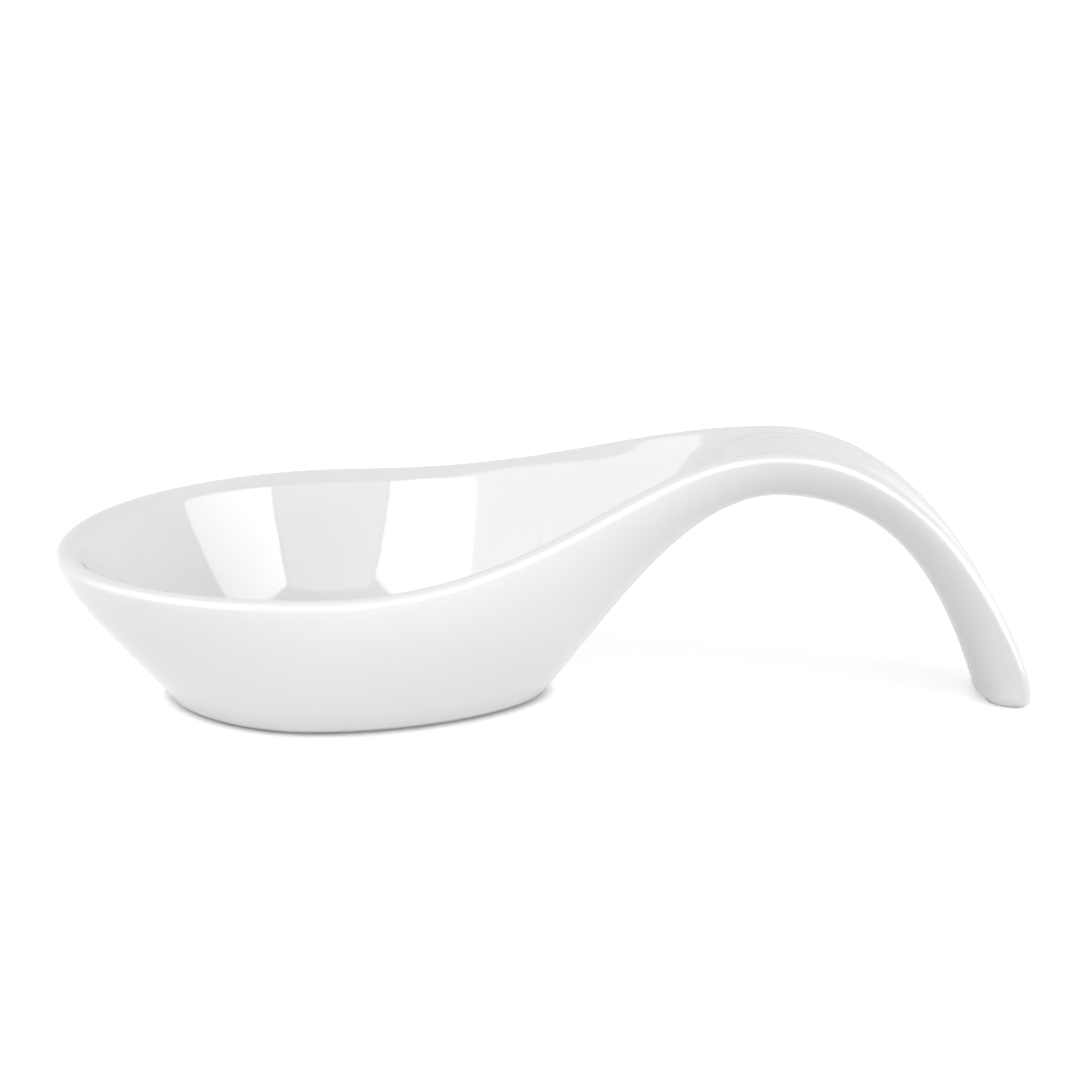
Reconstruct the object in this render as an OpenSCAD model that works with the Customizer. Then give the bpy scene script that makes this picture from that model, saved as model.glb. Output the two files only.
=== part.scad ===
// Porcelain spoon rest: an oval dish whose rim runs on into an arched handle that touches the table.
// X runs from the front of the dish to the end of the handle, Y across, Z up from the table.
// The origin is on the table, halfway along the object.

/* [Overall] */
// Length from the front of the rim to the end of the handle
overall_len = 241.5; // [230:0.5:256]
// Height of the handle's arch over the table
crest_h = 66.3; // [60:0.1:74]

/* [Dish] */
// Width over the rim
bowl_w = 111.2; // [100:0.2:122]
// Distance from the front of the rim to its widest place
widest_at = 69.5; // [60:0.5:76]
// Height of the rim at the front
front_h = 41; // [36:0.2:44]
// Height of the rim at its widest place
side_h = 43; // [38:0.2:47]
// Thickness of the rolled lip
lip_d = 4.2; // [3.6:0.1:5]
// Length of each side of the soft shoulder between the lip and the inner wall
shoulder_d = 2.2; // [1.4:0.1:2.8]
// Thickness of the floor over the foot ring
floor_t = 4.3; // [4:0.1:6]
// Length of the flat floor inside
floor_len = 66; // [56:1:74]
// Width of the flat floor inside
floor_w = 34; // [28:1:40]
// Distance from the front of the rim to the flat floor
floor_front = 40; // [36:1:46]

/* [Base] */
// Length of the base
base_len = 94.6; // [86:0.2:100]
// Width of the base
base_w = 59; // [52:0.2:66]
// Distance from the front of the rim to the base
base_front = 25.8; // [22:0.2:30]
// Distance from the front of the base to its widest place
base_widest_at = 38.5; // [34:0.5:44]

/* [Foot ring] */
// Height of the bare foot ring
foot_h = 0.8; // [0.5:0.1:1.2]
// Width of the foot ring's flat
foot_w = 3.6; // [3:0.1:6]
// Distance that the foot ring stands in from the edge of the base
foot_in = 2; // [1:0.1:3]

/* [Handle] */
// Distance from the front of the rim to the top of the arch
crest_at = 177.4; // [168:0.2:182]
// Width of the handle at the top of the arch
crest_w = 28.8; // [25:0.2:32]
// Thickness of the handle at the top of the arch
crest_t = 13.8; // [12:0.1:16]
// Width of the handle at its end
tip_w = 23.8; // [21:0.2:27]
// Thickness of the handle at its end
tip_t = 12.9; // [11:0.1:15]
// Depth of the shallow hollow along the handle's top
dish_d = 0.6; // [0.4:0.1:1.2]
// Height of the bare patch under the handle's end
pad_h = 0.4; // [0.3:0.1:0.6]
// Distance that the bare patch stands in from the edge of the handle's end
pad_in = 0.5; // [0.4:0.1:1]
// Radius of the inner corner at the handle's end
heel_r = 3; // [2:0.1:4]
// Radius of the other edges at the handle's end
toe_r = 1.5; // [1:0.1:2]

/* [Curves] */
// Length of the rim's straight start at its widest place, towards the handle
neck_reach = 54; // [46:1:60]
// Length of the rim's straight end before the top of the arch
crest_reach = 35; // [28:1:38]
// Length of the rim's straight start after the top of the arch
fall_reach = 39.5; // [36:0.5:44]
// Length of the rim line's straight stretch at the handle's end
tip_reach = 6.4; // [4.5:0.1:9]
// Run of the underside's straight start behind the base
keel_run = 14.2; // [12:0.2:17]
// Rise of the underside's straight start behind the base
keel_rise = 15.8; // [14:0.2:18]
// Length of the underside's straight end before the top of the arch
arch_reach = 23; // [20:1:28]
// Length of the underside's straight start after the top of the arch
under_reach = 30.4; // [28:0.2:36]
// Height of the underside's last bend over the table
under_rise = 27.2; // [24:0.2:31]
// Distance that the underside's last bend lies before the handle's end
under_lean = 8.6; // [6:0.2:11]
// Width of the underside's round at the top of the arch
arch_w = 15; // [12:0.5:18]
// Width of the underside's round at the handle's end
heel_w = 17.2; // [14:0.2:19]
// Depth of the underside's round
keel_d = 2.2; // [1.6:0.1:3]
// Run of the inside's slope at the back of the flat floor
channel_run = 24; // [18:1:30]
// Length of the inside's straight end before the top of the arch
channel_reach = 30; // [26:1:36]
// Width of the inside's round at the top of the arch
channel_w = 11; // [8:0.5:14]

/* [Hidden] */

// Counts of stations along the object and of steps across it
front_n = 12;
back_n = 11;
keel_n = 15;
fall_n = 15;
end_n = 6;
toe_n = 3;
wall_n = 10;
turn_n = 3;
lip_n = 4;
strip_n = 8;

// Roundness shares of the outlines: how far each handle of a curve reaches towards its corner
front_shares = [0.58, 0.53];
base_front_shares = [0.5, 0.5];
base_back_shares = [0.48, 0.46];
floor_front_shares = [0.55, 0.55];
floor_back_shares = [0.55, 0.5];
// Share of the back curve at which the base and the flat floor pass into the handle
back_arc_share = 0.96;
// Share of the rim's fall from its widest place to the front that is used halfway
sag_share = 0.25;
// Shares of the way down that the lip's outer side and the handle's hollow start with
out_turn_share = 0.43;
in_turn_share = 0.55;
// Share of the way from the wall's slope to level that the dish's inside starts with
shoulder_share = 0.45;
// Shares of a wall's length over which it keeps its direction at the top and at the bottom
top_hold_share = 0.23;
foot_hold_share = 0.27;
round_share = 0.45;
wall_hold_share = 0.88;
fillet_share = 0.75;
channel_hold_share = 0.08;

half_len = overall_len / 2;
lip_r = lip_d / 2;
front_x = lip_r - half_len;
wide_x = widest_at - half_len;
crest_x = crest_at - half_len;
end_x = half_len - lip_r;
front_z = front_h - lip_r;
side_z = side_h - lip_r;
crest_z = crest_h - lip_r;
rim_half = bowl_w / 2 - lip_r;
crest_half = crest_w / 2 - lip_r;
tip_half = tip_w / 2 - lip_r;
base_x = base_front - half_len;
base_wide_x = base_x + base_widest_at;
base_end_x = base_x + base_len;
floor_z = foot_h + floor_t;
floor_x = floor_front - half_len;
floor_wide_x = floor_x + floor_len * base_widest_at / base_len;
floor_end_x = floor_x + floor_len;
arch_z = crest_h - crest_t;
heel_x = half_len - tip_t;
side_n = back_n + keel_n;
base_n = front_n + back_n;
crest_n = front_n + side_n;
last_n = crest_n + fall_n;
seam_n = crest_n - 4;

function mix(a, b, t) = a * (1 - t) + b * t;
function ease(t) = t * t * (3 - 2 * t);
function unit(v) = v / norm(v);
// Point of a curve with ends a and d and handles b and c
function curve(a, b, c, d, t) =
    a * pow(1 - t, 3) + b * 3 * t * pow(1 - t, 2) + c * 3 * t * t * (1 - t) + d * pow(t, 3);
// Point of a bend from a to c round the corner b
function bend(a, b, c, t) = curve(a, mix(a, b, 2 / 3), mix(c, b, 2 / 3), c, t);
// Quarter of an oval from its end on the long axis to its side
function oval_front(x0, x1, w, z, s, t) =
    curve([x0, 0, z], [x0, s[0] * w, z], [x1 - s[1] * (x1 - x0), w, z], [x1, w, z], t);
function oval_back(x0, x1, w, z, s, t) =
    curve([x0, w, z], [x0 + s[0] * (x1 - x0), w, z], [x1, s[1] * w, z], [x1, 0, z], t);

// Centre line of the lip along one side, from the front round the dish to the handle's end
rim_sag = side_z - front_z;
fall_end = [end_x, tip_half, pad_h + heel_r];
function rim_front(t) = curve(
    [front_x, 0, front_z],
    [front_x, front_shares[0] * rim_half, front_z],
    [wide_x - front_shares[1] * (wide_x - front_x), rim_half, side_z - sag_share * rim_sag],
    [wide_x, rim_half, side_z], t);
function rim_neck(t) = curve(
    [wide_x, rim_half, side_z],
    [wide_x + neck_reach, rim_half, side_z + sag_share * rim_sag],
    [crest_x - crest_reach, crest_half, crest_z],
    [crest_x, crest_half, crest_z], t);
function rim_fall(t) = curve(
    [crest_x, crest_half, crest_z],
    [crest_x + fall_reach, crest_half, crest_z],
    [fall_end.x, tip_half, fall_end.z + tip_reach],
    fall_end, t);
// Past the fall the lip drops to the table and turns in at the toe
function toe_turn(k) = max(0, k - (end_n - toe_n)) * 90 / toe_n;
function rim_end(k) = let (
    drop = min(1, k / (end_n - toe_n)),
    turn = toe_turn(k),
    in = toe_r * (1 - cos(turn)))
    [mix(fall_end.x, end_x, drop) - in,
     tip_half - in,
     mix(fall_end.z, pad_h + toe_r, drop) - toe_r * sin(turn)];
rim = concat(
    [for (i = [0 : front_n - 1]) rim_front(i / front_n)],
    [for (i = [0 : side_n - 1]) rim_neck(i / side_n)],
    [for (i = [0 : fall_n]) rim_fall(i / fall_n)],
    [for (k = [1 : end_n]) rim_end(k)]);
station_n = len(rim) - 1;

// Centre line of the underside: across the base, up behind it, over the arch and down to the heel
function keel_at(t) = curve(
    [base_end_x, 0, foot_h],
    [base_end_x + keel_run, 0, foot_h + keel_rise],
    [crest_x - arch_reach, 0, arch_z],
    [crest_x, 0, arch_z], t);
function under_at(t) = curve(
    [crest_x, 0, arch_z],
    [crest_x + under_reach, 0, arch_z],
    [heel_x - under_lean, 0, under_rise],
    [heel_x, 0, pad_h + heel_r], t);
function heel_at(k) = let (turn = 90 * k / end_n)
    [heel_x + heel_r * (1 - cos(turn)), 0, pad_h + heel_r * (1 - sin(turn))];
function base_edge(i) = i <= front_n
    ? oval_front(base_x, base_wide_x, base_w / 2, foot_h, base_front_shares, i / front_n)
    : oval_back(base_wide_x, base_end_x, base_w / 2, foot_h, base_back_shares,
                back_arc_share * (i - front_n) / back_n);
base_corner = base_edge(base_n);
keel = concat(
    [for (i = [0 : base_n - 1]) [base_edge(i).x, 0, foot_h]],
    [for (i = [0 : keel_n - 1]) keel_at(i / keel_n)],
    [for (i = [0 : fall_n]) under_at(i / fall_n)],
    [for (k = [1 : end_n]) heel_at(k)]);

// Edge of the underside's flat or round, beside its centre line
function keel_half(i) = i <= crest_n
    ? mix(base_corner.y, arch_w / 2, ease((i - base_n) / keel_n))
    : mix(arch_w / 2, heel_w / 2, min(1, (i - crest_n) / fall_n));
function low_edge(i) = i <= base_n ? base_edge(i)
    : let (t = min(1, (i - base_n) / keel_n), back = (base_end_x - base_corner.x) * (1 - t))
      keel[i] + [-back, keel_half(i), 0] + spine(i) * keel_d * ease(t) - [toe_in(i), toe_in(i), 0];
function toe_in(i) = i <= last_n ? 0 : toe_r * (1 - cos(toe_turn(i - last_n)));

// Centre line of the inside: the floor, the slope up to the handle, and the handle's top
channel_end = [crest_x, 0, crest_h - dish_d];
function channel_at(t) = curve(
    [floor_end_x, 0, floor_z],
    [floor_end_x + channel_run, 0, floor_z],
    [crest_x - channel_reach, 0, channel_end.z],
    channel_end, t);
function floor_edge(i) = i <= front_n
    ? oval_front(floor_x, floor_wide_x, floor_w / 2, floor_z, floor_front_shares, i / front_n)
    : oval_back(floor_wide_x, floor_end_x, floor_w / 2, floor_z, floor_back_shares,
                back_arc_share * (i - front_n) / back_n);
floor_corner = floor_edge(base_n);
top = [for (i = [0 : station_n]) i < base_n ? [floor_edge(i).x, 0, floor_z]
    : i <= crest_n ? channel_at((i - base_n) / keel_n)
    : [rim[i].x, 0, rim[i].z] + spine(i) * (lip_r - dish_d)];
function channel_half(i) = i <= crest_n
    ? mix(floor_corner.y, channel_w / 2, ease((i - base_n) / keel_n))
    : channel_w / 2 * (rim[i].y / crest_half);
function high_edge(i) = i <= base_n ? floor_edge(i)
    : let (t = min(1, (i - base_n) / keel_n), back = (floor_end_x - floor_corner.x) * (1 - t),
           rise = dish_d * pow(channel_half(i) / rim[i].y, 2) * ease(t))
      top[i] + [-back, channel_half(i), 0] + spine(i) * rise;

// Directions at each station: along the rim, up from the handle's top, and out from the lip
function rim_before(i) = i == 0 ? [rim[1].x, -rim[1].y, rim[1].z] : rim[i - 1];
function rim_after(i) = i >= last_n ? rim[last_n] : rim[i + 1];
function along(i) = i > last_n ? [0, 0, -1] : unit(rim_after(i) - rim_before(i));
function spine(i) = let (v = along(i)) unit([-v.z, 0, norm([v.x, v.y])]);
function outward(i) = unit(cross(spine(i), along(i)));
function upward(i) = cross(along(i), outward(i));

// Angle of the way down from the lip to a point, from straight down towards the inside
function way_down(i, p) = let (v = p - rim[i]) atan2(-v * outward(i), -v * upward(i));
function lip_point(i, a) = rim[i] + (outward(i) * cos(a) + upward(i) * sin(a)) * lip_r;
function down_from(i, a) = -outward(i) * sin(a) - upward(i) * cos(a);
// How round the underside's corner is: none on the dish, full on the handle
function roundness(i) = ease(max(0, min(1, (i - base_n) / keel_n)));
// Way in which a strip between an edge and its mirror image leaves the edge outwards
function strip_way(edge, centre) = unit([2 * (edge.x - centre.x), edge.y, 2 * (edge.z - centre.z)]);
// Way along a centre line at a station
function line_way(line, i) = unit(line[min(i + 1, station_n)] - line[max(i - 1, base_n)]);
// Part of a way that lies in the surface through two other ways, so that a wall leaves without a crease
function lay_on(v, a, b) = let (n = unit(cross(a, b))) unit(v - n * (v * n));
// Way out of the base's edge: straight to the lip, and at the back turning in line with the keel
function base_way(i, v) = i <= front_n ? unit(v)
    : let (edge = unit(base_edge(i) - base_edge(i - 1)),
           rise = unit([-edge.y * keel_run, edge.x * keel_run, keel_rise]))
      unit(mix(unit(v), lay_on(v, edge, rise), ease((i - front_n) / back_n)));

// Length of the inner wall down to the floor's height, or of the handle's hollow along its first slope
function wall_run(i, wall_p, wall_way, high) = let (hold = channel_hold_share * 2 * norm(high - wall_p))
    i > crest_n ? hold : mix((high.z - wall_p.z) / wall_way.z, hold, roundness(i));

// One half of the section at a station, from the top's edge over the lip to the bottom's edge.
// The inner wall runs beside the outer one, from a soft shoulder under the lip to a corner at the floor.
function half_section(i) = let (
    low = low_edge(i), high = high_edge(i),
    out_a = out_turn_share * way_down(i, low),
    in_a = mix(mix(way_down(i, high), 90, shoulder_share), in_turn_share * way_down(i, high), roundness(i)),
    out_p = lip_point(i, -out_a), in_p = lip_point(i, 180 - in_a),
    out_d = norm(low - out_p),
    out_way = i <= base_n ? base_way(i, out_p - low)
        : lay_on(out_p - low, line_way(keel, i), strip_way(low, keel[i])),
    out_end = low + out_way * mix(foot_hold_share, round_share, roundness(i)) * out_d,
    wall_way = unit(mix(unit(low - out_p), down_from(i, in_a), roundness(i))),
    turn_d = mix(shoulder_d, channel_hold_share * norm(high - in_p), roundness(i)),
    turn_p = in_p + down_from(i, in_a) * turn_d,
    wall_p = turn_p + wall_way * turn_d,
    corner = wall_p + wall_way * wall_run(i, wall_p, wall_way, high),
    in_way = i <= base_n ? unit([corner.x - high.x, corner.y - high.y, 0])
        : lay_on(corner - high, line_way(top, i), strip_way(high, top[i])),
    in_end = high + in_way * fillet_share * norm(corner - high),
    in_top = mix(wall_p, corner, wall_hold_share),
    out_top = out_p + down_from(i, out_a) * top_hold_share * out_d,
    floor_n = wall_n - turn_n)
    concat(
        [for (k = [0 : floor_n - 1]) curve(high, in_end, in_top, wall_p, k / floor_n)],
        [for (k = [0 : turn_n - 1]) bend(wall_p, turn_p, in_p, k / turn_n)],
        [for (k = [0 : 2 * lip_n - 1]) lip_point(i, mix(180 - in_a, -out_a, k / (2 * lip_n)))],
        [for (k = [0 : wall_n]) curve(out_p, out_top, out_end, low, k / wall_n)]);
function other_side(p) = [p.x, -p.y, p.z];
// Points across the object between an edge and its mirror image, without the ends
function strip(edge, centre) = [for (k = [1 : strip_n - 1]) let (s = 1 - 2 * k / strip_n)
    [mix(centre.x, edge.x, s * s), edge.y * s, mix(centre.z, edge.z, s * s)]];
function backwards(list) = [for (k = [len(list) - 1 : -1 : 0]) list[k]];
// Closed section at a station, starting at the top's edge on the positive side
function section(i) = let (side = half_section(i))
    concat(side, strip(low_edge(i), keel[i]),
           [for (p = backwards(side)) other_side(p)],
           backwards(strip(high_edge(i), top[i])));
side_count = 2 * wall_n + 2 * lip_n + 1;
loop_count = 2 * side_count + 2 * (strip_n - 1);

// Nothing reaches lower than the bare patch at the handle's end, and the last section is flat
function end_z(i, z) = i == station_n ? pad_h : max(z, pad_h);
sections = [for (i = [0 : station_n]) i == 0 ? half_section(0) : i <= last_n ? section(i)
    : [for (p = section(i)) [p.x, p.y, end_z(i, p.z)]]];

// Two triangles for four corners, in order round the face
function quad(a, b, c, d) = [[a, b, c], [a, c, d]];
function flat_list(lists) = [for (a = lists) each a];
// Faces between two closed sections whose points start at a and b
function band(a, b) = flat_list([for (k = [0 : loop_count - 1]) let (n = (k + 1) % loop_count)
    quad(a + k, a + n, b + n, b + k)]);
// Faces round the front, from the folded first station, whose points start at 0, to the loop at b
function front(b) = let (
    other = b + side_count + strip_n - 1,
    last = side_count - 1,
    strip_start = loop_count - strip_n)
    concat(
        flat_list([for (k = [0 : last - 1]) quad(k, k + 1, b + k + 1, b + k)]),
        flat_list([for (k = [0 : last - 1]) quad(last - k, last - k - 1, other + k + 1, other + k)]),
        [for (k = [0 : strip_n - 1]) [last, b + last + k + 1, b + last + k]],
        [for (k = [0 : strip_n - 1]) [0, b + (strip_start + k + 1) % loop_count, b + strip_start + k]]);
// Faces across the closed section at a, from points of its top half to those of its bottom half
crown = wall_n + lip_n;
half_count = loop_count / 2;
function over(a, k) = a + (crown + loop_count - k) % loop_count;
function under(a, k) = a + (crown + k) % loop_count;
function cap(a) = concat(
    [[over(a, 0), under(a, 1), over(a, 1)]],
    flat_list([for (k = [1 : half_count - 2])
        quad(over(a, k), under(a, k), under(a, k + 1), over(a, k + 1))]),
    [[over(a, half_count - 1), under(a, half_count - 1), over(a, half_count)]]);
function flipped(faces) = [for (f = faces) backwards(f)];

// Closed solid between two stations
module body(first, last) {
    before = first == 0 ? side_count : 0;
    start = [for (i = [first : last]) i == 0 ? 0 : before + (i - max(first, 1)) * loop_count];
    polyhedron(
        points = flat_list([for (i = [first : last]) sections[i]]),
        faces = concat(
            first == 0 ? front(start[1]) : flipped(cap(start[0])),
            flat_list([for (i = [max(first, 1) : last - 1]) band(start[i - first], start[i + 1 - first])]),
            cap(start[last - first])),
        convexity = 8);
}

// Outline moved inwards by a distance
function inset(line, d) = [for (k = [0 : len(line) - 1])
    let (a = line[(k + len(line) - 1) % len(line)], b = line[(k + 1) % len(line)], way = unit(b - a))
    line[k] + [way.y, -way.x] * d];
// Outline of the base, round from the front on the positive side
base_side = [for (i = [1 : base_n - 1]) [base_edge(i).x, base_edge(i).y]];
base_line = concat(
    [[base_x, 0]], base_side,
    [[base_end_x, 0]], [for (p = backwards(base_side)) [p.x, -p.y]]);
// Edge of the flat at the handle's end
end_line = [for (p = sections[station_n]) [p.x, p.y]];

// Glazed dish, with the neck up to the seam
module bowl() {
    color("white") body(0, seam_n);
}

// Glazed handle, from the seam to its end over the table
module handle() {
    color("white") body(seam_n, station_n);
}

// Bare ring that the dish stands on
module foot_ring() {
    color("linen") linear_extrude(foot_h) difference() {
        polygon(inset(base_line, foot_in));
        polygon(inset(base_line, foot_in + foot_w));
    }
}

// Bare patch that the handle's end stands on
module handle_foot() {
    color("linen") linear_extrude(pad_h) polygon(inset(end_line, pad_in));
}

bowl();
handle();
foot_ring();
handle_foot();
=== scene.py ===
"""Look of a white glazed porcelain spoon rest on a pale studio floor.

The skin of the dish and handle is drawn again from the curves of the CAD part, with finer steps,
so that its gloss shows no facets. Lengths are in millimetres until a mesh is made, and in materials
they are in metres.
"""
import math

import bpy
import numpy as np
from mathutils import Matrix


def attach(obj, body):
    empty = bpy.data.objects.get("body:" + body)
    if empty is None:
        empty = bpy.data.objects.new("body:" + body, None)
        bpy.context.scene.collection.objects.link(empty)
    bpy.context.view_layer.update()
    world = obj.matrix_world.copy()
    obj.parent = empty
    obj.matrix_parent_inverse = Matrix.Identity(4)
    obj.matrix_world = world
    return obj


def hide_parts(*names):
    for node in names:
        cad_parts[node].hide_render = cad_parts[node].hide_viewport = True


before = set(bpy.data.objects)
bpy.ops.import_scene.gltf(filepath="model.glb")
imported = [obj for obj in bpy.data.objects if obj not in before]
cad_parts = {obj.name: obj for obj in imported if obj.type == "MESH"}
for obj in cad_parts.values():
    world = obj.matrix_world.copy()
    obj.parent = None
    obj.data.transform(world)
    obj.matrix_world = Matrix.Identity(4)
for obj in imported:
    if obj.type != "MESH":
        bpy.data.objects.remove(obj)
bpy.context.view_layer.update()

# Metres in a millimetre
MM = 0.001

# Sizes of the object, as in the CAD part
OVERALL_LEN = 241.5
CREST_H = 66.3
BOWL_W = 111.2
WIDEST_AT = 69.5
FRONT_H = 41.0
SIDE_H = 43.0
LIP_D = 4.2
FLOOR_T = 4.3
FLOOR_LEN = 66.0
FLOOR_W = 34.0
FLOOR_FRONT = 40.0
BASE_LEN = 94.6
BASE_W = 59.0
BASE_FRONT = 25.8
BASE_WIDEST_AT = 38.5
FOOT_H = 0.8
CREST_AT = 177.4
CREST_W = 28.8
CREST_T = 13.8
TIP_W = 23.8
TIP_T = 12.9
DISH_D = 0.6
PAD_H = 0.4
HEEL_R = 3.0
TOE_R = 1.5
NECK_REACH = 54.0
CREST_REACH = 35.0
FALL_REACH = 39.5
TIP_REACH = 6.4
KEEL_RUN = 14.2
KEEL_RISE = 15.8
ARCH_REACH = 23.0
UNDER_REACH = 30.4
UNDER_RISE = 27.2
UNDER_LEAN = 8.6
ARCH_W = 15.0
HEEL_W = 17.2
KEEL_D = 2.2
CHANNEL_RUN = 24.0
CHANNEL_REACH = 30.0
CHANNEL_W = 11.0
SHOULDER_D = 2.2

# Roundness of the outlines and walls, as in the CAD part
FRONT_SHARES = (0.58, 0.53)
BASE_FRONT_SHARES = (0.5, 0.5)
BASE_BACK_SHARES = (0.48, 0.46)
FLOOR_FRONT_SHARES = (0.55, 0.55)
FLOOR_BACK_SHARES = (0.55, 0.5)
BACK_ARC_SHARE = 0.96
SAG_SHARE = 0.25
OUT_TURN_SHARE = 0.43
IN_TURN_SHARE = 0.55
SHOULDER_SHARE = 0.45
TOP_HOLD_SHARE = 0.23
FOOT_HOLD_SHARE = 0.27
FILLET_SHARE = 0.75
WALL_HOLD_SHARE = 0.88
CHANNEL_HOLD_SHARE = 0.08
ROUND_SHARE = 0.45

# Steps along the object and across it
REFINE = 4
FRONT_N = 12 * REFINE
BACK_N = 11 * REFINE
KEEL_N = 15 * REFINE
FALL_N = 15 * REFINE
END_N = 6 * REFINE
TOE_N = 3 * REFINE
WALL_N = 10 * REFINE
TURN_N = 3 * REFINE
LIP_N = 4 * REFINE
STRIP_N = 8 * REFINE
# Scale that keeps the finer skin inside the box of the CAD part
FIT = 0.9996

HALF_LEN = OVERALL_LEN / 2
LIP_R = LIP_D / 2
FRONT_X = LIP_R - HALF_LEN
WIDE_X = WIDEST_AT - HALF_LEN
CREST_X = CREST_AT - HALF_LEN
END_X = HALF_LEN - LIP_R
FRONT_Z = FRONT_H - LIP_R
SIDE_Z = SIDE_H - LIP_R
CREST_Z = CREST_H - LIP_R
RIM_HALF = BOWL_W / 2 - LIP_R
CREST_HALF = CREST_W / 2 - LIP_R
TIP_HALF = TIP_W / 2 - LIP_R
BASE_X = BASE_FRONT - HALF_LEN
BASE_WIDE_X = BASE_X + BASE_WIDEST_AT
BASE_END_X = BASE_X + BASE_LEN
FLOOR_Z = FOOT_H + FLOOR_T
FLOOR_X = FLOOR_FRONT - HALF_LEN
FLOOR_WIDE_X = FLOOR_X + FLOOR_LEN * BASE_WIDEST_AT / BASE_LEN
FLOOR_END_X = FLOOR_X + FLOOR_LEN
ARCH_Z = CREST_H - CREST_T
HEEL_X = HALF_LEN - TIP_T
SIDE_N = BACK_N + KEEL_N
BASE_N = FRONT_N + BACK_N
CREST_N = FRONT_N + SIDE_N
LAST_N = CREST_N + FALL_N
STATION_N = LAST_N + END_N
SIDE_COUNT = 2 * WALL_N + 2 * LIP_N + 1


def mix(a, b, t):
    return a * (1 - t) + b * t


def ease(t):
    return t * t * (3 - 2 * t)


def point(*xyz):
    return np.array(xyz, float)


def unit(v):
    return v / np.linalg.norm(v)


def curve(a, b, c, d, t):
    """Point of a curve with ends a and d and handles b and c."""
    a, b, c, d = (np.asarray(p, float) for p in (a, b, c, d))
    return a * (1 - t) ** 3 + b * 3 * t * (1 - t) ** 2 + c * 3 * t * t * (1 - t) + d * t ** 3


def bend(a, b, c, t):
    """Point of a curve from a to c that turns towards b."""
    return curve(a, mix(a, b, 2 / 3), mix(c, b, 2 / 3), c, t)


def oval_front(x0, x1, w, z, s, t):
    return curve((x0, 0, z), (x0, s[0] * w, z), (x1 - s[1] * (x1 - x0), w, z), (x1, w, z), t)


def oval_back(x0, x1, w, z, s, t):
    return curve((x0, w, z), (x0 + s[0] * (x1 - x0), w, z), (x1, s[1] * w, z), (x1, 0, z), t)


# Centre line of the lip along one side, from the front round the dish to the handle's end
def rim_front(t):
    sag = SIDE_Z - FRONT_Z
    return curve(
        (FRONT_X, 0, FRONT_Z),
        (FRONT_X, FRONT_SHARES[0] * RIM_HALF, FRONT_Z),
        (WIDE_X - FRONT_SHARES[1] * (WIDE_X - FRONT_X), RIM_HALF, SIDE_Z - SAG_SHARE * sag),
        (WIDE_X, RIM_HALF, SIDE_Z), t)


def rim_neck(t):
    sag = SIDE_Z - FRONT_Z
    return curve(
        (WIDE_X, RIM_HALF, SIDE_Z),
        (WIDE_X + NECK_REACH, RIM_HALF, SIDE_Z + SAG_SHARE * sag),
        (CREST_X - CREST_REACH, CREST_HALF, CREST_Z),
        (CREST_X, CREST_HALF, CREST_Z), t)


def rim_fall(t):
    foot_z = PAD_H + HEEL_R
    return curve(
        (CREST_X, CREST_HALF, CREST_Z),
        (CREST_X + FALL_REACH, CREST_HALF, CREST_Z),
        (END_X, TIP_HALF, foot_z + TIP_REACH),
        (END_X, TIP_HALF, foot_z), t)


def toe_turn(k):
    """Angle through which the lip has turned in at a step past the fall."""
    return math.radians(max(0, k - (END_N - TOE_N)) * 90 / TOE_N)


def rim_end(k):
    drop = min(1, k / (END_N - TOE_N))
    turn = toe_turn(k)
    inwards = TOE_R * (1 - math.cos(turn))
    return point(END_X - inwards, TIP_HALF - inwards,
                 mix(PAD_H + HEEL_R, PAD_H + TOE_R, drop) - TOE_R * math.sin(turn))


rim = ([rim_front(i / FRONT_N) for i in range(FRONT_N)]
       + [rim_neck(i / SIDE_N) for i in range(SIDE_N)]
       + [rim_fall(i / FALL_N) for i in range(FALL_N + 1)]
       + [rim_end(k) for k in range(1, END_N + 1)])


# Centre line of the underside: across the base, up behind it, over the arch and down to the heel
def keel_at(t):
    return curve((BASE_END_X, 0, FOOT_H), (BASE_END_X + KEEL_RUN, 0, FOOT_H + KEEL_RISE),
                 (CREST_X - ARCH_REACH, 0, ARCH_Z), (CREST_X, 0, ARCH_Z), t)


def under_at(t):
    return curve((CREST_X, 0, ARCH_Z), (CREST_X + UNDER_REACH, 0, ARCH_Z),
                 (HEEL_X - UNDER_LEAN, 0, UNDER_RISE), (HEEL_X, 0, PAD_H + HEEL_R), t)


def heel_at(k):
    turn = math.radians(90 * k / END_N)
    return point(HEEL_X + HEEL_R * (1 - math.cos(turn)), 0, PAD_H + HEEL_R * (1 - math.sin(turn)))


def base_edge(i):
    if i <= FRONT_N:
        return oval_front(BASE_X, BASE_WIDE_X, BASE_W / 2, FOOT_H, BASE_FRONT_SHARES, i / FRONT_N)
    return oval_back(BASE_WIDE_X, BASE_END_X, BASE_W / 2, FOOT_H, BASE_BACK_SHARES,
                     BACK_ARC_SHARE * (i - FRONT_N) / BACK_N)


def floor_edge(i):
    if i <= FRONT_N:
        return oval_front(FLOOR_X, FLOOR_WIDE_X, FLOOR_W / 2, FLOOR_Z, FLOOR_FRONT_SHARES, i / FRONT_N)
    return oval_back(FLOOR_WIDE_X, FLOOR_END_X, FLOOR_W / 2, FLOOR_Z, FLOOR_BACK_SHARES,
                     BACK_ARC_SHARE * (i - FRONT_N) / BACK_N)


base_corner = base_edge(BASE_N)
floor_corner = floor_edge(BASE_N)
keel = ([point(base_edge(i)[0], 0, FOOT_H) for i in range(BASE_N)]
        + [keel_at(i / KEEL_N) for i in range(KEEL_N)]
        + [under_at(i / FALL_N) for i in range(FALL_N + 1)]
        + [heel_at(k) for k in range(1, END_N + 1)])


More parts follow.
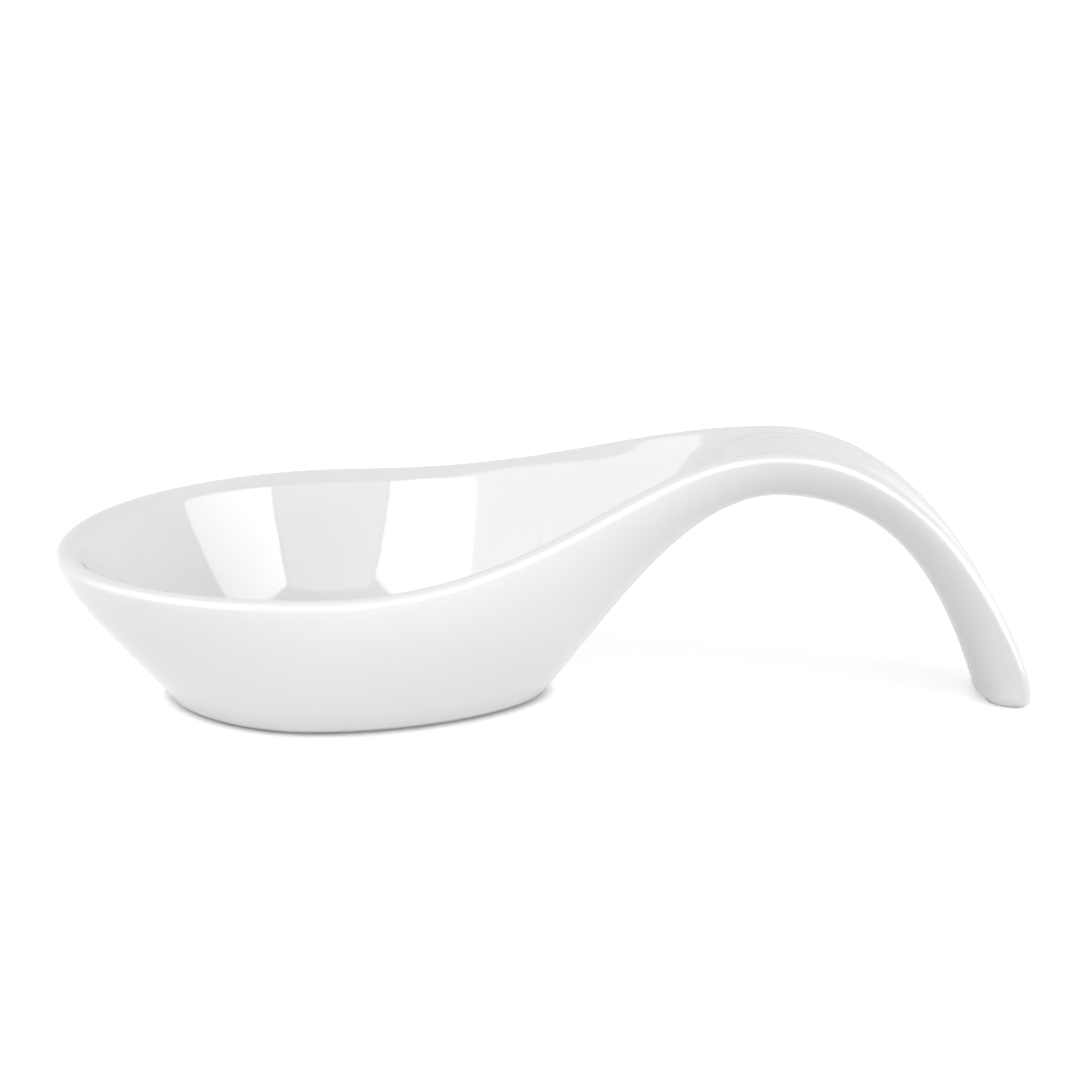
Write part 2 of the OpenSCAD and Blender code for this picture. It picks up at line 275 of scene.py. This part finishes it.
# Directions at each station: along the rim, up from the handle's top, and out from the lip
def along(i):
    if i > LAST_N:
        return point(0, 0, -1)
    before = rim[1] * point(1, -1, 1) if i == 0 else rim[i - 1]
    return unit(rim[min(i + 1, LAST_N)] - before)


def spine(i):
    v = along(i)
    return unit(point(-v[2], 0, math.hypot(v[0], v[1])))


def outward(i):
    return unit(np.cross(spine(i), along(i)))


def keel_share(i):
    return min(1, (i - BASE_N) / KEEL_N)


def keel_half(i):
    if i <= CREST_N:
        return mix(base_corner[1], ARCH_W / 2, ease((i - BASE_N) / KEEL_N))
    return mix(ARCH_W / 2, HEEL_W / 2, min(1, (i - CREST_N) / FALL_N))


def low_edge(i):
    """Edge of the underside's flat or round, beside its centre line."""
    if i <= BASE_N:
        return base_edge(i)
    t = keel_share(i)
    back = (BASE_END_X - base_corner[0]) * (1 - t)
    toe_in = 0 if i <= LAST_N else TOE_R * (1 - math.cos(toe_turn(i - LAST_N)))
    return keel[i] + point(-back - toe_in, keel_half(i) - toe_in, 0) + spine(i) * KEEL_D * ease(t)


# Centre line of the inside: the floor, the slope up to the handle, and the handle's top
def channel_at(t):
    top_z = CREST_H - DISH_D
    return curve((FLOOR_END_X, 0, FLOOR_Z), (FLOOR_END_X + CHANNEL_RUN, 0, FLOOR_Z),
                 (CREST_X - CHANNEL_REACH, 0, top_z), (CREST_X, 0, top_z), t)


def top_at(i):
    if i < BASE_N:
        return point(floor_edge(i)[0], 0, FLOOR_Z)
    if i <= CREST_N:
        return channel_at((i - BASE_N) / KEEL_N)
    return point(rim[i][0], 0, rim[i][2]) + spine(i) * (LIP_R - DISH_D)


top = [top_at(i) for i in range(STATION_N + 1)]


def channel_half(i):
    if i <= CREST_N:
        return mix(floor_corner[1], CHANNEL_W / 2, ease((i - BASE_N) / KEEL_N))
    return CHANNEL_W / 2 * rim[i][1] / CREST_HALF


def high_edge(i):
    if i <= BASE_N:
        return floor_edge(i)
    t = keel_share(i)
    back = (FLOOR_END_X - floor_corner[0]) * (1 - t)
    rise = DISH_D * (channel_half(i) / rim[i][1]) ** 2 * ease(t)
    return top[i] + point(-back, channel_half(i), 0) + spine(i) * rise


def strip_way(edge, centre):
    """Way in which a strip between an edge and its mirror image leaves the edge outwards."""
    return unit(point(2 * (edge[0] - centre[0]), edge[1], 2 * (edge[2] - centre[2])))


def line_way(line, i):
    return unit(line[min(i + 1, STATION_N)] - line[max(i - 1, BASE_N)])


def lay_on(v, a, b):
    """Part of a way that lies in the surface through two other ways."""
    n = unit(np.cross(a, b))
    return unit(v - n * np.dot(v, n))


def base_way(i, v):
    """Way out of the base's edge, turning in line with the keel at the back."""
    if i <= FRONT_N:
        return unit(v)
    edge = unit(base_edge(i) - base_edge(i - 1))
    rise = unit(point(-edge[1] * KEEL_RUN, edge[0] * KEEL_RUN, KEEL_RISE))
    return unit(mix(unit(v), lay_on(v, edge, rise), ease((i - FRONT_N) / BACK_N)))


def half_section(i):
    """One half of the section at a station, from the top's edge over the lip to the bottom's edge."""
    low, high, out, v = low_edge(i), high_edge(i), outward(i), along(i)
    up = np.cross(v, out)

    def way_down(p):
        d = p - rim[i]
        return math.atan2(-np.dot(d, out), -np.dot(d, up))

    def lip_point(a):
        return rim[i] + (out * math.cos(a) + up * math.sin(a)) * LIP_R

    def down_from(a):
        return -out * math.sin(a) - up * math.cos(a)

    roundness = ease(max(0, keel_share(i)))
    out_a = OUT_TURN_SHARE * way_down(low)
    in_way_down = way_down(high)
    in_a = mix(mix(in_way_down, math.pi / 2, SHOULDER_SHARE), IN_TURN_SHARE * in_way_down, roundness)
    out_p, in_p = lip_point(-out_a), lip_point(math.pi - in_a)
    out_d = np.linalg.norm(low - out_p)
    # The inner wall runs beside the outer one, from a soft shoulder under the lip to a corner at the
    # floor
    wall_way = unit(mix(unit(low - out_p), down_from(in_a), roundness))
    shoulder_d = mix(SHOULDER_D, CHANNEL_HOLD_SHARE * np.linalg.norm(high - in_p), roundness)
    shoulder = in_p + down_from(in_a) * shoulder_d
    wall_p = shoulder + wall_way * shoulder_d
    run = CHANNEL_HOLD_SHARE * 2 * np.linalg.norm(high - wall_p)
    if i <= CREST_N:
        run = mix((high[2] - wall_p[2]) / wall_way[2], run, roundness)
    corner = wall_p + wall_way * run
    if i <= BASE_N:
        out_way = base_way(i, out_p - low)
        in_way = unit(point(corner[0] - high[0], corner[1] - high[1], 0))
    else:
        out_way = lay_on(out_p - low, line_way(keel, i), strip_way(low, keel[i]))
        in_way = lay_on(corner - high, line_way(top, i), strip_way(high, top[i]))
    out_end = low + out_way * mix(FOOT_HOLD_SHARE, ROUND_SHARE, roundness) * out_d
    out_top = out_p + down_from(out_a) * TOP_HOLD_SHARE * out_d
    in_end = high + in_way * FILLET_SHARE * np.linalg.norm(corner - high)
    in_top = mix(wall_p, corner, WALL_HOLD_SHARE)
    inner = [curve(high, in_end, in_top, wall_p, k / (WALL_N - TURN_N)) for k in range(WALL_N - TURN_N)]
    turn = [bend(wall_p, shoulder, in_p, k / TURN_N) for k in range(TURN_N)]
    lip = [lip_point(mix(math.pi - in_a, -out_a, k / (2 * LIP_N))) for k in range(2 * LIP_N)]
    outer = [curve(out_p, out_top, out_end, low, k / WALL_N) for k in range(WALL_N + 1)]
    return inner + turn + lip + outer


def strip(edge, centre):
    """Points across the object between an edge and its mirror image, without the ends."""
    steps = [1 - 2 * k / STRIP_N for k in range(1, STRIP_N)]
    return [point(mix(centre[0], edge[0], s * s), edge[1] * s, mix(centre[2], edge[2], s * s))
            for s in steps]


def other_side(points):
    return [p * point(1, -1, 1) for p in points]


def section(i):
    """Closed section at a station, starting at the top's edge on the positive side."""
    side = half_section(i)
    below = strip(low_edge(i), keel[i])
    above = strip(high_edge(i), top[i])
    loop = side + below + other_side(side[::-1]) + above[::-1]
    if i > LAST_N:
        for p in loop:
            p[2] = PAD_H if i == STATION_N else max(p[2], PAD_H)
    return loop


def new_mesh(name, points, faces):
    """Object made of points in millimetres and faces."""
    mesh = bpy.data.meshes.new(name)
    mesh.from_pydata([tuple(p * MM) for p in points], [], faces)
    mesh.validate()
    mesh.update()
    piece = bpy.data.objects.new(name, mesh)
    bpy.context.scene.collection.objects.link(piece)
    return piece


def skin():
    """Closed skin of the dish and handle."""
    points = half_section(0)
    first = len(points)
    loops = [section(i) for i in range(1, STATION_N + 1)]
    count = len(loops[0])
    for loop in loops:
        points += loop
    # The front, where both halves of the first section are the same line
    last = SIDE_COUNT - 1
    other = first + SIDE_COUNT + STRIP_N - 1
    above = count - STRIP_N
    faces = [(k, k + 1, first + k + 1, first + k) for k in range(last)]
    faces += [(last - k, last - k - 1, other + k + 1, other + k) for k in range(last)]
    faces += [(last, first + last + k + 1, first + last + k) for k in range(STRIP_N)]
    faces += [(0, first + (above + k + 1) % count, first + above + k) for k in range(STRIP_N)]
    # All round between each section and the next
    for s in range(len(loops) - 1):
        a, b = first + s * count, first + (s + 1) * count
        faces += [(a + k, a + (k + 1) % count, b + (k + 1) % count, b + k) for k in range(count)]
    # The handle's flat end, in rows from one side to the other
    end = first + (len(loops) - 1) * count
    crown, half = WALL_N + LIP_N, count // 2

    def over(k):
        return end + (crown + count - k) % count

    def under(k):
        return end + (crown + k) % count

    faces.append((over(0), under(1), over(1)))
    faces += [(over(k), under(k), under(k + 1), over(k + 1)) for k in range(1, half - 1)]
    faces.append((over(half - 1), under(half - 1), over(half)))
    return new_mesh("glazed_body", [p * FIT for p in points], [f[::-1] for f in faces])


# Degrees at an edge from which it shows as sharp
SHARP_ANGLE = 60

# The valley behind the floor, where both inner walls meet: between which stations it lies, over how many
# it fades out, how far to its sides it reaches, and the least upward part of a normal in it
VALLEY_FIRST_N = BASE_N - FRONT_N // 4
VALLEY_LAST_N = BASE_N + 3 * KEEL_N // 4
VALLEY_FADE_N = KEEL_N / 4
VALLEY_REACH = 13.0
VALLEY_RISE = 0.1
# How far each pass smooths it, and how many passes there are
VALLEY_FACTOR = 0.5
VALLEY_PASSES = 120


def soften_valley(piece):
    """Round the valley behind the floor, most along its line and less to its sides."""
    stations = range(VALLEY_FIRST_N, CREST_N)
    line = np.array([top_at(i) for i in stations])
    fade = [min(1, max(0, (VALLEY_LAST_N - i) / VALLEY_FADE_N)) for i in stations]
    group = piece.vertex_groups.new(name="valley")
    for vertex in piece.data.vertices:
        gaps = np.linalg.norm(line - np.array(vertex.co) / MM, axis=1)
        near = int(gaps.argmin())
        weight = ease(max(0, 1 - gaps[near] / VALLEY_REACH)) * fade[near]
        if weight > 0 and vertex.normal.z > VALLEY_RISE:
            group.add([vertex.index], weight, "REPLACE")
    smooth = piece.modifiers.new("valley", "SMOOTH")
    smooth.factor = VALLEY_FACTOR
    smooth.iterations = VALLEY_PASSES
    smooth.vertex_group = group.name


body = skin()
for polygon in body.data.polygons:
    polygon.use_smooth = True
body.data.set_sharp_from_angle(angle=math.radians(SHARP_ANGLE))
soften_valley(body)
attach(body, "root")
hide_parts("bowl", "handle")


# Levels of a noise between which what it drives goes from low to high
NOISE_SPAN = (0.3, 0.7)
# Glaze: its grey and its roughness, and for each the scale and detail of its clouds and the two shares of
# it between which they run
GLAZE_GREY = 0.85
GLAZE_CLOUDS = (28, 3, 0.992, 1.008)
GLAZE_ROUGHNESS = 0.05
GLAZE_PATCHES = (60, 4, 0.8, 1.3)
# Share of blue in its grey, and how strongly it bends light
GLAZE_BLUE = 0.996
GLAZE_IOR = 1.55
# Scale, detail and height in metres of its soft waves, and of the fine waves on them
GLAZE_WAVES = (90, 1, 0.00002)
GLAZE_PEEL = (700, 2, 0.000001)
# Bare porcelain: the same kinds of values
BARE_GREY = 0.7
BARE_CLOUDS = (120, 4, 0.97, 1.03)
BARE_ROUGHNESS = 0.75
BARE_BLUE = 0.95
BARE_GRAIN = (2500, 3, 0.00003)
# Its specks: their scale, how far from a speck's middle it fades out, and the share of grey in the middle
SPECK_SCALE = 900
SPECK_REACH = (0.05, 0.12)
SPECK_SHARE = 0.85


def node_tools(tree):
    """Way to add nodes to a tree with their inputs and settings."""
    def add(kind, inputs=None, **settings):
        node = tree.nodes.new(kind)
        for key, value in settings.items():
            setattr(node, key, value)
        for key, value in (inputs or {}).items():
            if isinstance(value, bpy.types.NodeSocket):
                tree.links.new(value, node.inputs[key])
            else:
                node.inputs[key].default_value = value
        return node

    return add


def new_material(name):
    """Empty material with its shader, a way to add nodes and its links."""
    material = bpy.data.materials.new(name)
    material.use_nodes = True
    tree = material.node_tree
    return material, tree.nodes["Principled BSDF"], node_tools(tree), tree.links


def times(add, a, b):
    """Product of two values."""
    return add("ShaderNodeMath", {0: a, 1: b}, operation="MULTIPLY").outputs[0]


def spread(add, value, low, high, span=(0, 1), **settings):
    """Value that goes from low to high while another one goes over its span."""
    return add("ShaderNodeMapRange", {
        "Value": value, "From Min": span[0], "From Max": span[1],
        "To Min": low, "To Max": high}, **settings).outputs["Result"]


def noise(add, place, middle, scale, detail, low, high):
    """Noise over the object, between two shares of a value."""
    cloud = add("ShaderNodeTexNoise", {"Vector": place, "Scale": scale, "Detail": detail})
    return spread(add, cloud.outputs["Fac"], middle * low, middle * high, NOISE_SPAN)


def grey(add, level, blue_share):
    """Colour of a grey level, with a little less blue."""
    blue = times(add, level, blue_share)
    return add("ShaderNodeCombineColor", {"Red": level, "Green": level, "Blue": blue}).outputs["Color"]


def bump(add, place, scale, detail, height, **below):
    """Normal of a surface with waves, laid on the normal of what is below, if any."""
    waves = add("ShaderNodeTexNoise", {"Vector": place, "Scale": scale, "Detail": detail})
    return add("ShaderNodeBump", {"Height": waves.outputs["Fac"], "Strength": 1, "Distance": height,
                                  **below}).outputs["Normal"]


def glaze_material():
    """White gloss glaze: faint clouds in the white and the gloss, and the soft waves of fired ware."""
    material, shader, add, links = new_material("white_glaze")
    place = add("ShaderNodeTexCoord").outputs["Object"]
    level = noise(add, place, GLAZE_GREY, *GLAZE_CLOUDS)
    links.new(grey(add, level, GLAZE_BLUE), shader.inputs["Base Color"])
    links.new(noise(add, place, GLAZE_ROUGHNESS, *GLAZE_PATCHES), shader.inputs["Roughness"])
    shader.inputs["IOR"].default_value = GLAZE_IOR
    soft = bump(add, place, *GLAZE_WAVES)
    links.new(bump(add, place, *GLAZE_PEEL, Normal=soft), shader.inputs["Normal"])
    return material


def bare_material():
    """Bare fired porcelain: matte, a little warmer and finely grained, with a few darker specks."""
    material, shader, add, links = new_material("bare_porcelain")
    place = add("ShaderNodeTexCoord").outputs["Object"]
    cloud = noise(add, place, BARE_GREY, *BARE_CLOUDS)
    specks = add("ShaderNodeTexVoronoi", {"Vector": place, "Scale": SPECK_SCALE})
    level = times(add, cloud, spread(add, specks.outputs["Distance"], SPECK_SHARE, 1, SPECK_REACH))
    links.new(grey(add, level, BARE_BLUE), shader.inputs["Base Color"])
    shader.inputs["Roughness"].default_value = BARE_ROUGHNESS
    links.new(bump(add, place, *BARE_GRAIN), shader.inputs["Normal"])
    return material


body.data.materials.append(glaze_material())
bare = bare_material()
for name in ("foot_ring", "handle_foot"):
    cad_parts[name].data.materials.clear()
    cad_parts[name].data.materials.append(bare)

# Floor: a white sheet that shows brighter to the camera, and in the glaze, than it lights the object
FLOOR_HALF = 6000.0
FLOOR_GREY = 0.64
# Glow of the sheet beside the object and far behind it, and how far off that starts and ends, in metres
FLOOR_GLOW = (0.61, 0.78)
FLOOR_REACH = (0.3, 1.8)
# How far off the object makes the sheet darker with painted shade, where it stands on it, and how many
# rays look for that
CONTACT_REACH = 0.003
CONTACT_RAYS = 8
# How much of that painted shade is left at the handle's end, and from where to where along the object it
# fades
TIP_CONTACT = 0.3
TIP_CONTACT_REACH = (0.05, 0.1)
WHITE = (1, 1, 1, 1)
BLACK = (0, 0, 0, 1)


def seen_directly(add):
    """One for rays from the camera and for mirror images, and zero for the light on other things."""
    path = add("ShaderNodeLightPath").outputs
    seen = path["Is Camera Ray"]
    for kind in ("Is Glossy Ray", "Is Transmission Ray"):
        seen = add("ShaderNodeMath", {0: seen, 1: path[kind]}, operation="MAXIMUM").outputs[0]
    return seen


def painted_contact_shade(add, place):
    """Share of the floor's glow that is left in the gap under the object's edge, which paints shade there.
    """
    openness = add("ShaderNodeAmbientOcclusion", {"Distance": CONTACT_REACH}, samples=CONTACT_RAYS)
    way_along = add("ShaderNodeSeparateXYZ", {"Vector": place}).outputs["X"]
    least = spread(add, way_along, 0, 1 - TIP_CONTACT, TIP_CONTACT_REACH)
    return spread(add, openness.outputs["AO"], least, 1)


def floor_material():
    """White sheet, a little brighter far off, with painted shade where the object stands on it."""
    material, shader, add, links = new_material("white_sheet")
    shader.inputs["Base Color"].default_value = (FLOOR_GREY, FLOOR_GREY, FLOOR_GREY, 1)
    shader.inputs["Roughness"].default_value = 1
    shader.inputs["Specular IOR Level"].default_value = 0
    shader.inputs["Emission Color"].default_value = WHITE
    place = add("ShaderNodeTexCoord").outputs["Object"]
    way_off = add("ShaderNodeVectorMath", {0: place}, operation="LENGTH").outputs["Value"]
    level = spread(add, way_off, *FLOOR_GLOW, FLOOR_REACH, interpolation_type="SMOOTHSTEP")
    # The glow is darkened near the object's edge, as painted contact shade
    level = times(add, level, painted_contact_shade(add, place))
    links.new(times(add, seen_directly(add), level), shader.inputs["Emission Strength"])
    return material


floor_corners = [point(x, y, 0) * FLOOR_HALF for x, y in ((-1, -1), (1, -1), (1, 1), (-1, 1))]
floor = new_mesh("floor", floor_corners, [range(len(floor_corners))])
floor.data.materials.append(floor_material())

# Place in the dish from which the softboxes and lamps are measured, and how far off the softboxes stand
AIM = point(-30, 0, 40)
SOFTBOX_DISTANCE = 1200.0
# Softboxes round the front, all angles in degrees: the ways in which they start and end, and the way in
# which they stand square, to the right of the camera's side; the angles over the level at which their
# bottom and top stand; their glow where they start and where they end; and what is cut off the corner at
# their start and top, sideways and down
SOFTBOXES = {
    "softbox_right": (27, 73, 50, 3, 58, 7.2, 4.0),
    "softbox_right_end": (76, 118, 97, 3, 22, 0.5, 4.0),
    "softbox_front_top": (-27, 26, 0, 42, 59, 2.6, 2.6),
    "softbox_front": (-27, 26, 0, 3, 42, 1.2, 6.0),
    "softbox_left": (-68, -28, -50, 3, 56, 6.0, 6.2, (14, 10)),
    "softbox_left_end": (-104, -68, -60, 3, 52, 2.7, 3.5),
}
# Small card beside the handle's end, which draws the bright line down its lip: the same values, the place
# that it is aimed at, and how far off it stands
TIP_CARD = (25, 85, 55, 0, 45, 5.0, 5.0)
TIP_CARD_AIM = point(113, -12, 1)
TIP_CARD_DISTANCE = 60.0
# Lamps for the light that things scatter: the way in which they stand, in degrees to the right of the
# camera's side, and how far off and how high; how far they are tilted up from facing down, in degrees;
# their width and height; and their glow
LAMPS = {
    "right_lamp": (50, 1200, 1030, 90, 1020, 1860, 1.6),
    "right_low_lamp": (70, 1200, 250, 90, 500, 400, 1.9),
    "right_end_lamp": (97, 1200, 315, 90, 920, 420, 1.2),
    "left_lamp": (-90, 1000, 700, 55, 800, 500, 4.7),
    "left_low_lamp": (-60, 300, 26, 90, 200, 46, 1.0),
    "front_card": (-6, 230, 22, 90, 200, 40, 4.0),
}


def area_lamp(name, side, distance, rise, tilt, width, height, glow):
    """Soft lamp that lights what it faces, and is mirrored in nothing."""
    turn = math.radians(side)
    data = bpy.data.lights.new(name, "AREA")
    data.shape = "RECTANGLE"
    data.size, data.size_y = width * MM, height * MM
    data.energy = glow * math.pi * data.size * data.size_y
    lamp = bpy.data.objects.new(name, data)
    bpy.context.scene.collection.objects.link(lamp)
    x, y = AIM[0] + distance * math.sin(turn), AIM[1] - distance * math.cos(turn)
    lamp.location = point(x, y, rise) * MM
    lamp.rotation_euler = (math.radians(tilt), 0, turn)
    lamp.visible_camera = lamp.visible_glossy = False


def softbox_material(name, start_glow, end_glow):
    """Glow that changes evenly along the object's length."""
    material, shader, add, links = new_material(name)
    shader.inputs["Base Color"].default_value = BLACK
    shader.inputs["Emission Color"].default_value = WHITE
    place = add("ShaderNodeTexCoord").outputs["Generated"]
    across = add("ShaderNodeSeparateXYZ", {"Vector": place}).outputs["X"]
    links.new(spread(add, across, start_glow, end_glow), shader.inputs["Emission Strength"])
    return material


def softbox(name, start, end, facing, low, high, start_glow, end_glow, cut=(0, 0),
            aim=AIM, distance=SOFTBOX_DISTANCE):
    """Upright glowing sheet that faces a place, and is only seen mirrored."""
    turn = math.radians(facing)
    middle = aim + distance * point(math.sin(turn), -math.cos(turn), 0)
    sideways = distance * point(math.cos(turn), math.sin(turn), 0)
    outline = [(start, low), (end, low), (end, high), (start + cut[0], high), (start, high - cut[1])]
    corners = [middle + sideways * math.tan(math.radians(way - facing))
               + point(0, 0, distance * math.tan(math.radians(rise))) for way, rise in outline]
    sheet = new_mesh(name, corners, [range(len(corners))])
    sheet.data.materials.append(softbox_material(name, start_glow, end_glow))
    sheet.visible_camera = sheet.visible_diffuse = sheet.visible_shadow = False


for name, values in SOFTBOXES.items():
    softbox(name, *values)
softbox("tip_card", *TIP_CARD, aim=TIP_CARD_AIM, distance=TIP_CARD_DISTANCE)
for name, values in LAMPS.items():
    area_lamp(name, *values)

# Weak light from all round, behind a white background
WORLD_LIGHT = 0.48
world = bpy.data.worlds.new("world")
bpy.context.scene.world = world
world.use_nodes = True
background = world.node_tree.nodes["Background"]
background.inputs["Color"].default_value = WHITE
add = node_tools(world.node_tree)
strength = spread(add, seen_directly(add), WORLD_LIGHT, 1)
world.node_tree.links.new(strength, background.inputs["Strength"])

# Camera: its place in metres and its turn in degrees, the photo's width and focal length in pixels, and
# the width of a sensor in millimetres
CAMERA_PLACE = (0.00346, -0.51908, 0.20884)
CAMERA_TURN = (72, 0, 0.53)
PHOTO_WIDTH = 1080
FOCAL_PIXELS = 2200
SENSOR_WIDTH = 36
camera_data = bpy.data.cameras.new("camera")
camera_data.sensor_width = SENSOR_WIDTH
camera_data.lens = FOCAL_PIXELS / PHOTO_WIDTH * SENSOR_WIDTH
camera = bpy.data.objects.new("camera", camera_data)
bpy.context.scene.collection.objects.link(camera)
camera.location = CAMERA_PLACE
camera.rotation_euler = [math.radians(angle) for angle in CAMERA_TURN]
bpy.context.scene.camera = camera
bpy.context.scene.view_settings.view_transform = "Standard"
